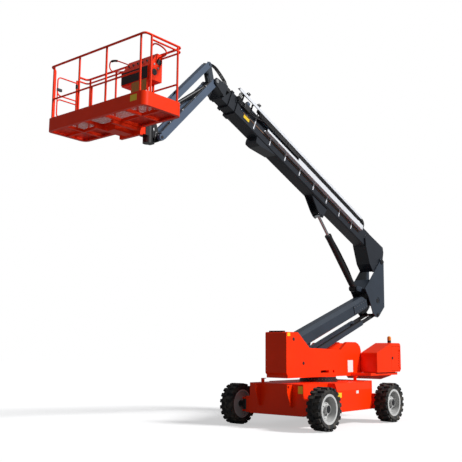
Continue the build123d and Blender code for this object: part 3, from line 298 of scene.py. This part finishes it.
class Piece:
    """A mesh gathered from simple solids in one member's axes, riding on one body."""

    def __init__(self, name, body, slot, axes=WORLD, material=None):
        self.name = name
        self.body = body
        self.slot = slot
        self.axes = axes
        self.material = material or MATS[slot]
        self.mesh = bmesh.new()

    def block(self, x0, x1, y0, y1, z0, z1):
        size = Matrix.Diagonal((x1 - x0, y1 - y0, z1 - z0, 1))
        place = Matrix.Translation(((x0 + x1) / 2, (y0 + y1) / 2, (z0 + z1) / 2))
        bmesh.ops.create_cube(self.mesh, size=1, matrix=place @ size)

    def block_around(self, middle, half):
        """A block from its middle point and its half sizes."""
        spans = [(at - reach, at + reach) for at, reach in zip(middle, half)]
        self.block(*spans[0], *spans[1], *spans[2])

    def disc(self, at, axis, radius, length, sides=24, top=None):
        """A disc or rod around a middle point. With a top radius it tapers along the axis."""
        turn = Vector((0, 0, 1)).rotation_difference(Vector(axis)).to_matrix().to_4x4()
        bmesh.ops.create_cone(
            self.mesh, cap_ends=True, segments=sides, radius1=radius,
            radius2=radius if top is None else top, depth=length,
            matrix=Matrix.Translation(at) @ turn,
        )

    def on_front(self, x, y_span, z_span, thick=STICKER_THICK):
        """A thin plate on a face that looks forward."""
        self.block(x, x + thick, *y_span, *z_span)

    def on_left(self, y, x_span, z_span, thick=STICKER_THICK):
        """A thin plate on a face that looks to the left."""
        self.block(*x_span, y, y + thick, *z_span)

    def bolt_ring(self, middle, axis, circle, count, radius, length, first=0.0):
        """Six-sided heads on a circle around a sideways or an upright axis."""
        forward = Vector((1, 0, 0))
        across = Vector((0, 1, 0)) if axis[2] else Vector((0, 0, 1))
        for n in range(count):
            a = (n + first) * math.tau / count
            at = Vector(middle) + circle * (math.cos(a) * forward + math.sin(a) * across)
            self.disc(at, axis, radius, length, 6)

    def latch(self, x, y, z, side, radius, thick, grip_half):
        """A round latch with its upright grip, on a face that looks to one side."""
        grip_deep = 0.004
        grip_y = y + thick - grip_deep
        self.disc((x, side * y, z), (0, side, 0), radius, thick, 24)
        self.block_around((x, side * grip_y, z), (0.012, grip_deep, grip_half))

    def done(self, bevel=0.0, smooth=False):
        bmesh.ops.recalc_face_normals(self.mesh, faces=self.mesh.faces)
        data = bpy.data.meshes.new(self.name)
        self.mesh.to_mesh(data)
        self.mesh.free()
        data.transform(self.axes)
        obj = bpy.data.objects.new(self.name, data)
        scene.collection.objects.link(obj)
        data.materials.append(self.material)
        if smooth:
            for face in data.polygons:
                face.use_smooth = True
        if bevel:
            mod = obj.modifiers.new("edge", "BEVEL")
            mod.width = bevel
            mod.segments = 2
            mod.limit_method = "ANGLE"
        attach(obj, self.body)


def hose(name, body, points, radius, slot="black_plastic", axes=WORLD):
    """A bent hose or bar through the given points. Without a body it comes back as a mesh."""
    curve = bpy.data.curves.new(name, "CURVE")
    curve.dimensions = "3D"
    curve.bevel_depth = radius
    curve.bevel_resolution = 2
    line = curve.splines.new("NURBS")
    line.points.add(len(points) - 1)
    for spot, co in zip(line.points, points):
        spot.co = (*(axes @ Vector(co)), 1)
    line.order_u = 3
    line.use_endpoint_u = True
    line.resolution_u = 6
    curve.materials.append(MATS[slot])
    obj = bpy.data.objects.new(name, curve)
    scene.collection.objects.link(obj)
    if body is None:
        bpy.context.view_layer.update()
        mesh = bpy.data.meshes.new_from_object(obj.evaluated_get(bpy.context.evaluated_depsgraph_get()))
        bpy.data.objects.remove(obj)
        obj = bpy.data.objects.new(name, mesh)
        scene.collection.objects.link(obj)
    else:
        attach(obj, body)
    return obj


# Chassis, turntable and wheels
def add_stickers():
    """Blank stickers and labels."""
    stick = Piece("chassis_stickers_yellow", "chassis", "paint", material=YELLOW)
    stick.on_front(NOSE_X, (0.553, 0.668), (0.705, 0.855))
    stick.on_left(CHASSIS_Y, (0.50, 0.66), (0.60, 0.70))
    stick.done()
    stick = Piece("chassis_stickers_white", "chassis", "paint", material=WHITE)
    stick.on_front(NOSE_X, (0.307, 0.375), (0.737, 0.805))
    stick.on_left(CHASSIS_Y, (-0.20, -0.10), (0.66, 0.72))
    stick.done()
    stick = Piece("boom_sticker_yellow", "boom", "boom_paint", BOOM, YELLOW)
    stick.on_left(BOOM_Y, (5.86, 6.05), (0.13, 0.20))
    stick.done()
    stick = Piece("toe_board_sticker_yellow", "platform", "paint", material=YELLOW)
    stick.on_front(TOE_BOARD_X, (0.915, 1.065), (5.385, 5.485))
    stick.done()
    stick = Piece("cover_sticker_yellow", "turntable", "paint", material=YELLOW)
    stick.on_left(COVER_Y, (1.465, 1.560), (1.860, 1.930))
    stick.done()
    stick = Piece("cover_label_white", "turntable", "paint", material=WHITE)
    stick.on_left(COVER_Y, (-1.050, -0.820), (1.080, 1.350))
    stick.done()


def add_latches():
    """Latches on both covers and on both cabinet doors."""
    latches = Piece("cover_latches", "turntable", "black_plastic")
    for x, z in ((1.340, 1.800), (0.980, 1.300)):
        for side in SIDES:
            latches.latch(x, COVER_Y + 0.002, z, side, radius=0.034, thick=0.008, grip_half=0.028)
    latches.done(0.001)
    for (hand, side), x in zip(HANDS, (-2.135, -1.480)):
        door = Piece(f"{hand}_door_latch", f"{hand}_door", "black_plastic")
        door.latch(x, DOOR_LATCH_Y, DOOR_LATCH_Z, side, radius=0.032, thick=0.010, grip_half=0.030)
        door.done(0.001)


def add_wheel_dressing():
    """Ten nuts on each rim's disc, and a hub cover with a ring of six bolts."""
    nut_y = WHEEL_Y - 0.033
    bolt_y = WHEEL_Y + 0.048
    cover_y = WHEEL_Y + 0.106
    for end, x in AXLES:
        for hand, side in HANDS:
            body = f"wheel_{end}_{hand}"
            out = (0, side, 0)
            nuts = Piece(f"wheel_nuts_{end}_{hand}", body, "rod_chrome", material=ZINC)
            nuts.bolt_ring(
                (x, side * nut_y, AXLE_Z), out, circle=0.200, count=10, radius=0.016, length=0.024
            )
            nuts.done()
            hub = Piece(f"hub_cover_{end}_{hand}", body, "black_paint")
            hub.disc((x, side * cover_y, AXLE_Z), out, 0.082, 0.006, 32, 0.070)
            hub.bolt_ring(
                (x, side * bolt_y, AXLE_Z), out, circle=0.115, count=6, radius=0.010, length=0.012,
                first=0.5,
            )
            hub.done()


def add_ring_and_pad_bolts():
    """Bolts and dark band of the slewing ring, and bolts on the riser's wear plates."""
    bolts = Piece("slew_ring_bolts", "chassis", "rod_chrome", material=ZINC)
    bolts.bolt_ring((0, 0, 0.948), (0, 0, 1), circle=0.404, count=32, radius=0.010, length=0.010)
    bolts.done()
    band = Piece("slew_ring_band_black", "turntable", "black_paint")
    band.disc((0, 0, 0.9728), (0, 0, 1), 0.3920, 0.0520, 72)
    band.done()
    pad_start = -3.46
    pad_pitch = 0.11
    bolts = Piece("riser_pad_bolts", "riser", "rod_chrome", RISER, ZINC)
    for side in SIDES:
        for n in range(6):
            for height in (0.02, 0.14):
                bolts.disc((pad_start + n * pad_pitch, side * 0.187, height), (0, side, 0), 0.013, 0.010, 6)
    bolts.done()


def add_pin_heads():
    """Heads of the upright's pins with a keeper on the boom's, and of the jib fork's pin."""
    riser_pin = (-2.380, 2.455)
    cylinder_pin = (-2.400, 2.800)
    pivot_x, pivot_z = PIVOT
    pins = Piece("upright_pin_heads", "upright", "black_paint")
    for side in SIDES:
        out = (0, side, 0)
        pins.disc((pivot_x, side * 0.233, pivot_z), out, 0.062, 0.012, 32)
        pins.disc((riser_pin[0], side * 0.231, riser_pin[1]), out, 0.044, 0.010, 28)
        pins.disc((cylinder_pin[0], side * 0.214, cylinder_pin[1]), out, 0.060, 0.006, 32)
        pins.block_around((pivot_x - 0.02, side * 0.241, pivot_z), (0.06, 0.004, 0.015))
    pins.done(0.001)
    pins = Piece("jib_fork_pin_heads", "boom_tip", "rod_chrome", BOOM, ZINC)
    for side in SIDES:
        pins.disc((7.036, side * 0.194, 0.263), (0, side, 0), 0.040, 0.006, 24)
    pins.done()


# Main boom: energy chain, its guide, and the fittings at the mouth
def add_chain_links():
    """Links of the energy chain's two runs, lines along the boom, and ribs on the link's chain."""
    pitch = 0.062
    link_long = pitch * 0.62
    upper_run = (0.468, 0.540, 1.33, 5.74)
    lower_run = (0.266, 0.336, 1.33, 4.82)
    links = Piece("cable_chain_links", "boom", "black_plastic", BOOM)
    for low, high, start, stop in (upper_run, lower_run):
        for n in range(int((stop - start) / pitch)):
            x = start + n * pitch
            links.block(x, x + link_long, 0.160, 0.234, low, high)
    links.done()
    strip = Piece("boom_side_strips", "boom", "boom_paint", BOOM, STRIP)
    strip.on_left(BOOM_Y, (1.2, 5.9), (0.405, 0.440), thick=0.006)
    strip.done()
    strip = Piece("boom_side_line", "boom", "boom_paint", BOOM, BROWN)
    strip.on_left(BOOM_Y, (1.2, 6.1), (0.205, 0.222), thick=0.008)
    strip.done()
    rib_start = -3.28
    rib_pitch = 0.045
    ribs = Piece("riser_chain_ribs", "link", "black_plastic", LINK)
    for n in range(56):
        x = rib_start + n * rib_pitch
        ribs.block(x, x + 0.026, 0.100, 0.155, 0.069, 0.073)
    ribs.done()


def add_nose_hose(n, y):
    """A hose over the jib's fork, from the boom's tip to the jib's bracket, left as a mesh on no body."""
    points = [
        (6.62, y, 0.416), (6.64, y, 0.560), (6.79, y, 0.605), (6.95, y, 0.645), (7.08, y, 0.658),
        (7.195, y, 0.622), (7.260, y, 0.580), (7.275, y, 0.550),
    ]
    loop = hose(f"nose_hose_{n}", None, points, 0.011, axes=BOOM)
    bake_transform(loop)


def add_hoses():
    """Hoses at the boom's nose, along the jib and up the boom's cylinder."""
    for n, y in enumerate((-0.030, 0.000, 0.030)):
        add_nose_hose(n, y)
    jib_way = ((0.10, 0.068), (0.30, 0.082), (0.9, 0.080), (1.6, 0.080), (1.92, 0.066))
    for n, y in enumerate((0.115, 0.137)):
        hose(f"jib_hose_{n}", "jib_lower", [(x, y, z) for x, z in jib_way], 0.009, axes=JIB)
    clips = Piece("jib_hose_clips", "jib_lower", "rod_chrome", JIB, ZINC)
    for x in (0.30, 0.75, 1.20, 1.65):
        clips.block(x, x + 0.03, 0.100, 0.150, 0.068, 0.092)
    clips.done(0.002)
    hose("boom_cylinder_hose", "boom_barrel", [
        (-1.47, 0.060, 3.24), (-1.30, 0.085, 3.42), (-1.05, 0.090, 3.67), (-0.72, 0.085, 4.00),
        (-0.60, 0.070, 4.12),
    ], 0.011)


def add_chain_guide():
    """Bright guide along the chain's upper run, cables inside its loop, straps and hose hooks."""
    guide_top = GUIDE_Z + 0.007
    guide = Piece("chain_guide_bright", "boom", "galvanised", BOOM)
    guide.block(1.300, GUIDE_END, TRAY_Y, TRAY_Y + 0.004, 0.494, guide_top)
    guide.block(1.460, GUIDE_END, 0.170, TRAY_Y, GUIDE_Z, guide_top)
    guide.done(0.001)
    cable_pitch = 0.0285
    bundle = Piece("cables_in_chain_loop", "boom", "black_plastic", BOOM)
    for n in range(3):
        bundle.disc((3.55, 0.218, 0.3985 + n * cable_pitch), (1, 0, 0), 0.0143, 4.30, 20)
    bundle.done(smooth=True)
    strap_pitch = 0.5
    straps = Piece("cable_straps", "boom", "black_paint", BOOM)
    for n in range(9):
        x = 1.60 + n * strap_pitch
        straps.block(x, x + 0.03, TRAY_Y - 0.007, TRAY_Y, 0.3865, 0.5485)
    straps.done()
    hooks = Piece("boom_hose_hooks", "boom", "black_paint", BOOM)
    for x in (5.760, 6.140):
        hooks.block(x, x + 0.05, 0.180, 0.240, guide_top, 0.640)
        hooks.block(x + 0.05, x + 0.10, 0.180, 0.240, guide_top, 0.580)
        hooks.block(x - 0.025, x, 0.180, 0.240, 0.615, 0.640)
    hooks.done(0.004)


def add_valves():
    """Valve blocks at the boom's mouth and tip, with their stubs and the hoses to the chain."""
    ahead = (1, 0, 0)
    valve = Piece("boom_mouth_valve", "boom", "black_paint", BOOM)
    valve.block(5.98, 6.16, BOOM_Y, 0.215, 0.270, 0.400)
    for z in PORT_HEIGHTS:
        valve.disc((6.195, PORT_Y, z), ahead, 0.017, 0.07, 16)
        valve.disc((5.955, PORT_Y, z), ahead, 0.014, 0.05, 16)
    valve.done(0.003)
    valve = Piece("boom_tip_valve", "boom_tip", "black_paint", BOOM)
    valve.block(6.62, 6.76, 0.112, 0.165, 0.300, 0.385)
    for z in (0.320, 0.362):
        valve.disc((6.785, 0.140, z), ahead, 0.014, 0.05, 16)
    valve.done(0.003)
    for n, z in enumerate(PORT_HEIGHTS):
        hose(f"valve_hose_{n}", "boom", [
            (5.93, PORT_Y, z), (5.80, 0.186, z + 0.010), (5.66, 0.205, z + 0.05 - n * 0.02),
            (5.50, 0.215, 0.400 + n * 0.028),
        ], 0.010, axes=BOOM)


def add_mouth_fittings():
    """Posts under the guide's front end, and the plate, fittings and hose loops by the valve."""
    plate_y = BOOM_Y + 0.0005
    post_out = plate_y + 0.008
    post_wide = 0.045
    posts = Piece("guide_posts", "boom", "black_paint", BOOM)
    for x in (5.880, 6.200):
        posts.block(x, x + post_wide, plate_y, post_out, 0.215, GUIDE_Z)
        posts.block(x, x + post_wide, post_out, TRAY_Y, GUIDE_Z - 0.008, GUIDE_Z)
    posts.done(0.001)
    plate = Piece("mouth_valve_plate", "boom", "jib_paint", BOOM)
    plate.block(5.960, 6.180, plate_y, plate_y + 0.006, 0.215, 0.268)
    plate.block(6.030, 6.110, plate_y, 0.2150, 0.402, 0.470)
    plate.done(0.002)
    fittings = Piece("mouth_valve_fittings", "boom", "rod_chrome", BOOM, ZINC)
    for z in PORT_HEIGHTS:
        fittings.disc((6.238, PORT_Y, z), (1, 0, 0), 0.0125, 0.030, 6)
    for x in (5.99, 6.15):
        fittings.disc((x, 0.160, 0.242), (0, 1, 0), 0.011, 0.010, 6)
    fittings.done(0.001)
    for n, z in enumerate(PORT_HEIGHTS):
        reach = 6.395 - n * 0.035
        back = n * 0.04
        hose(f"mouth_loop_{n}", "boom", [
            (6.250, PORT_Y, z), (reach - 0.045, 0.186, z + 0.012), (reach, 0.196, 0.440),
            (reach - 0.030, 0.206, 0.505), (6.250 - back, 0.208, 0.525), (6.100 - back, 0.208, 0.522),
        ], 0.0105, axes=BOOM)


# Platform
def add_console_dressing():
    """Dark panel, levers, guard bows, buttons, dials and the blank sign of the console."""
    panel = Piece("console_panel_black", "platform", "black_plastic")
    panel.on_front(CONSOLE_X, (0.090, 0.720), (5.985, 6.195), thick=0.004)
    panel.done(0.001)
    lever_pitch = 0.11
    lever_lean = (0.3, 0, 1)
    levers = Piece("console_levers", "platform", "black_plastic")
    for n in range(5):
        y = 0.20 + n * lever_pitch
        levers.disc((6.06, y, 6.285), lever_lean, 0.008, 0.06, 12)
        levers.disc((6.070, y, 6.318), lever_lean, 0.016, 0.022, 16)
    levers.done()
    hose("console_guard_left", "platform", [
        (6.0, 0.085, 6.405), (6.0, -0.10, 6.500), (6.0, -0.30, 6.590), (6.0, -0.385, 6.560),
        (6.0, -0.385, 6.440), (6.0, -0.26, 6.335), (6.0, 0.085, 6.290),
    ], 0.011, "paint")
    hose("console_guard_grip", "platform", [
        (6.0, -0.190, 6.539), (6.0, -0.270, 6.567), (6.0, -0.335, 6.565),
    ], 0.020)
    hose("console_guard_right", "platform", [
        (5.93, 0.600, 6.435), (5.93, 0.580, 6.560), (5.93, 0.620, 6.670), (5.93, 0.760, 6.620),
        (5.93, 0.960, 6.450), (5.93, 0.940, 6.360), (5.93, 0.765, 6.370),
    ], 0.014, "paint")
    buttons = Piece("console_side_buttons", "platform", "rod_chrome", material=ZINC)
    for x, z in ((6.03, 6.235), (5.94, 6.185)):
        buttons.disc((x, CONSOLE_LEFT_Y + 0.003, z), (0, 1, 0), 0.018, 0.010, 20)
    buttons.done(0.001)
    dials = Piece("console_side_dials", "platform", "black_plastic")
    for x, z in ((5.92, 6.30), (6.02, 6.10)):
        dials.disc((x, CONSOLE_LEFT_Y + 0.002, z), (0, 1, 0), 0.055, 0.008, 28)
    dials.done(0.001)
    sign = Piece("console_sign_blank", "platform", "paint", material=TAN)
    sign.on_front(CONSOLE_X, (0.345, 0.700), (5.790, 5.970), thick=0.003)
    sign.done()


def add_gate_fittings():
    """Latch and spring sleeves of the gate."""
    latch = Piece("gate_latch", "gate", "black_plastic")
    latch.block(6.400, 6.500, -1.205, -1.175, 6.080, 6.130)
    latch.done(0.003)
    springs = Piece("gate_springs", "gate", "black_plastic")
    for z in (5.66, 6.27):
        springs.disc((6.0685, -1.1902, z), (0, 0, 1), 0.024, 0.07, 20)
    springs.done()


def add_beacon_foot():
    foot = Piece("beacon_foot", "turntable", "black_plastic")
    foot.disc((-2.220, 0.600, 1.785), (0, 0, 1), 0.044, 0.055, 28)
    foot.done()


# Studio
FLOOR_SIZE = 120
FLOOR_BOUNCE = 0.22
FLOOR_GLOW = 0.50
SKY_COLOR = (0.92, 0.95, 1.0, 1)
SKY_STRENGTH = 0.22
SUN_TOWARD = (0.26, -0.75, -0.61)
SUN_STRENGTH = 4.2
SUN_WIDTH = math.radians(12)

# Camera, as fitted to the photo: place in the machine's frame, angles in radians
CAMERA_AT = (14.142174, 9.204990, 1.600345)
YAW = -2.4473966
PITCH = 0.1575026
ROLL = 0.0079748
FOCAL_PX = 738.12
IMAGE_PX = 462
SENSOR_MM = 36.0


def floor_material():
    """Grey that glows to nearly white for the camera, and is darker for light that bounces."""
    mat, tree, bsdf = new_material("studio_floor")
    noise = noise_at(tree, scale=0.4)
    ramp = ramp_between(tree, noise.outputs["Fac"], (0.2, 0.8), (0.50, 0.50, 0.50), (0.52, 0.52, 0.52))
    path = tree.nodes.new("ShaderNodeLightPath")
    tone = tree.nodes.new("ShaderNodeMix")
    tone.data_type = "RGBA"
    tone.inputs["A"].default_value = (FLOOR_BOUNCE, FLOOR_BOUNCE, FLOOR_BOUNCE, 1)
    tree.links.new(path.outputs["Is Camera Ray"], tone.inputs["Factor"])
    tree.links.new(ramp.outputs["Color"], tone.inputs["B"])
    tree.links.new(tone.outputs["Result"], bsdf.inputs["Base Color"])
    glow = tree.nodes.new("ShaderNodeMath")
    glow.operation = "MULTIPLY"
    glow.inputs[1].default_value = FLOOR_GLOW
    tree.links.new(path.outputs["Is Camera Ray"], glow.inputs[0])
    tree.links.new(glow.outputs["Value"], bsdf.inputs["Emission Strength"])
    bsdf.inputs["Emission Color"].default_value = (1, 1, 1, 1)
    bsdf.inputs["Roughness"].default_value = 0.9
    bsdf.inputs["Specular IOR Level"].default_value = 0.0
    return mat


def add_floor():
    """A wide floor, just below the tyres."""
    material = floor_material()
    bpy.ops.mesh.primitive_plane_add(size=FLOOR_SIZE, location=(0, 0, -0.002))
    floor = bpy.context.object
    floor.name = "studio_floor"
    floor.data.materials.append(material)


def add_sky():
    """White to the camera, a dim cool light to everything else."""
    world = bpy.data.worlds.new("studio")
    scene.world = world
    world.use_nodes = True
    tree = world.node_tree
    background = tree.nodes["Background"]
    background.inputs["Color"].default_value = SKY_COLOR
    background.inputs["Strength"].default_value = SKY_STRENGTH
    white = tree.nodes.new("ShaderNodeBackground")
    white.inputs["Color"].default_value = (1, 1, 1, 1)
    white.inputs["Strength"].default_value = 1.0
    path = tree.nodes.new("ShaderNodeLightPath")
    mix = tree.nodes.new("ShaderNodeMixShader")
    tree.links.new(path.outputs["Is Camera Ray"], mix.inputs["Fac"])
    tree.links.new(background.outputs["Background"], mix.inputs[1])
    tree.links.new(white.outputs["Background"], mix.inputs[2])
    tree.links.new(mix.outputs["Shader"], tree.nodes["World Output"].inputs["Surface"])


def add_sun():
    """One soft sun from the machine's left and above."""
    data = bpy.data.lights.new("key_light", "SUN")
    data.energy = SUN_STRENGTH
    data.angle = SUN_WIDTH
    sun = bpy.data.objects.new("key_light", data)
    sun.rotation_euler = Vector(SUN_TOWARD).to_track_quat("-Z", "Y").to_euler()
    scene.collection.objects.link(sun)


def add_camera():
    """The photo's view."""
    level = math.cos(PITCH)
    forward = Vector((math.cos(YAW) * level, math.sin(YAW) * level, math.sin(PITCH)))
    right = forward.cross(Vector((0, 0, 1))).normalized()
    up = right.cross(forward)
    right_rolled = right * math.cos(ROLL) + up * math.sin(ROLL)
    up_rolled = up * math.cos(ROLL) - right * math.sin(ROLL)
    data = bpy.data.cameras.new("photo_camera")
    data.sensor_width = SENSOR_MM
    data.lens = SENSOR_MM * FOCAL_PX / IMAGE_PX
    data.clip_end = 200
    camera = bpy.data.objects.new("photo_camera", data)
    turn = Matrix((right_rolled, up_rolled, -forward)).transposed().to_4x4()
    camera.matrix_world = WORLD @ Matrix.Translation(CAMERA_AT) @ turn
    scene.collection.objects.link(camera)
    scene.camera = camera


paint_solids()
soften_solids()
add_stickers()
add_latches()
add_wheel_dressing()
add_ring_and_pad_bolts()
add_pin_heads()
add_chain_links()
add_hoses()
add_chain_guide()
add_valves()
add_mouth_fittings()
add_console_dressing()
add_gate_fittings()
add_beacon_foot()
add_floor()
add_sky()
add_sun()
add_camera()
scene.view_settings.view_transform = "Standard"
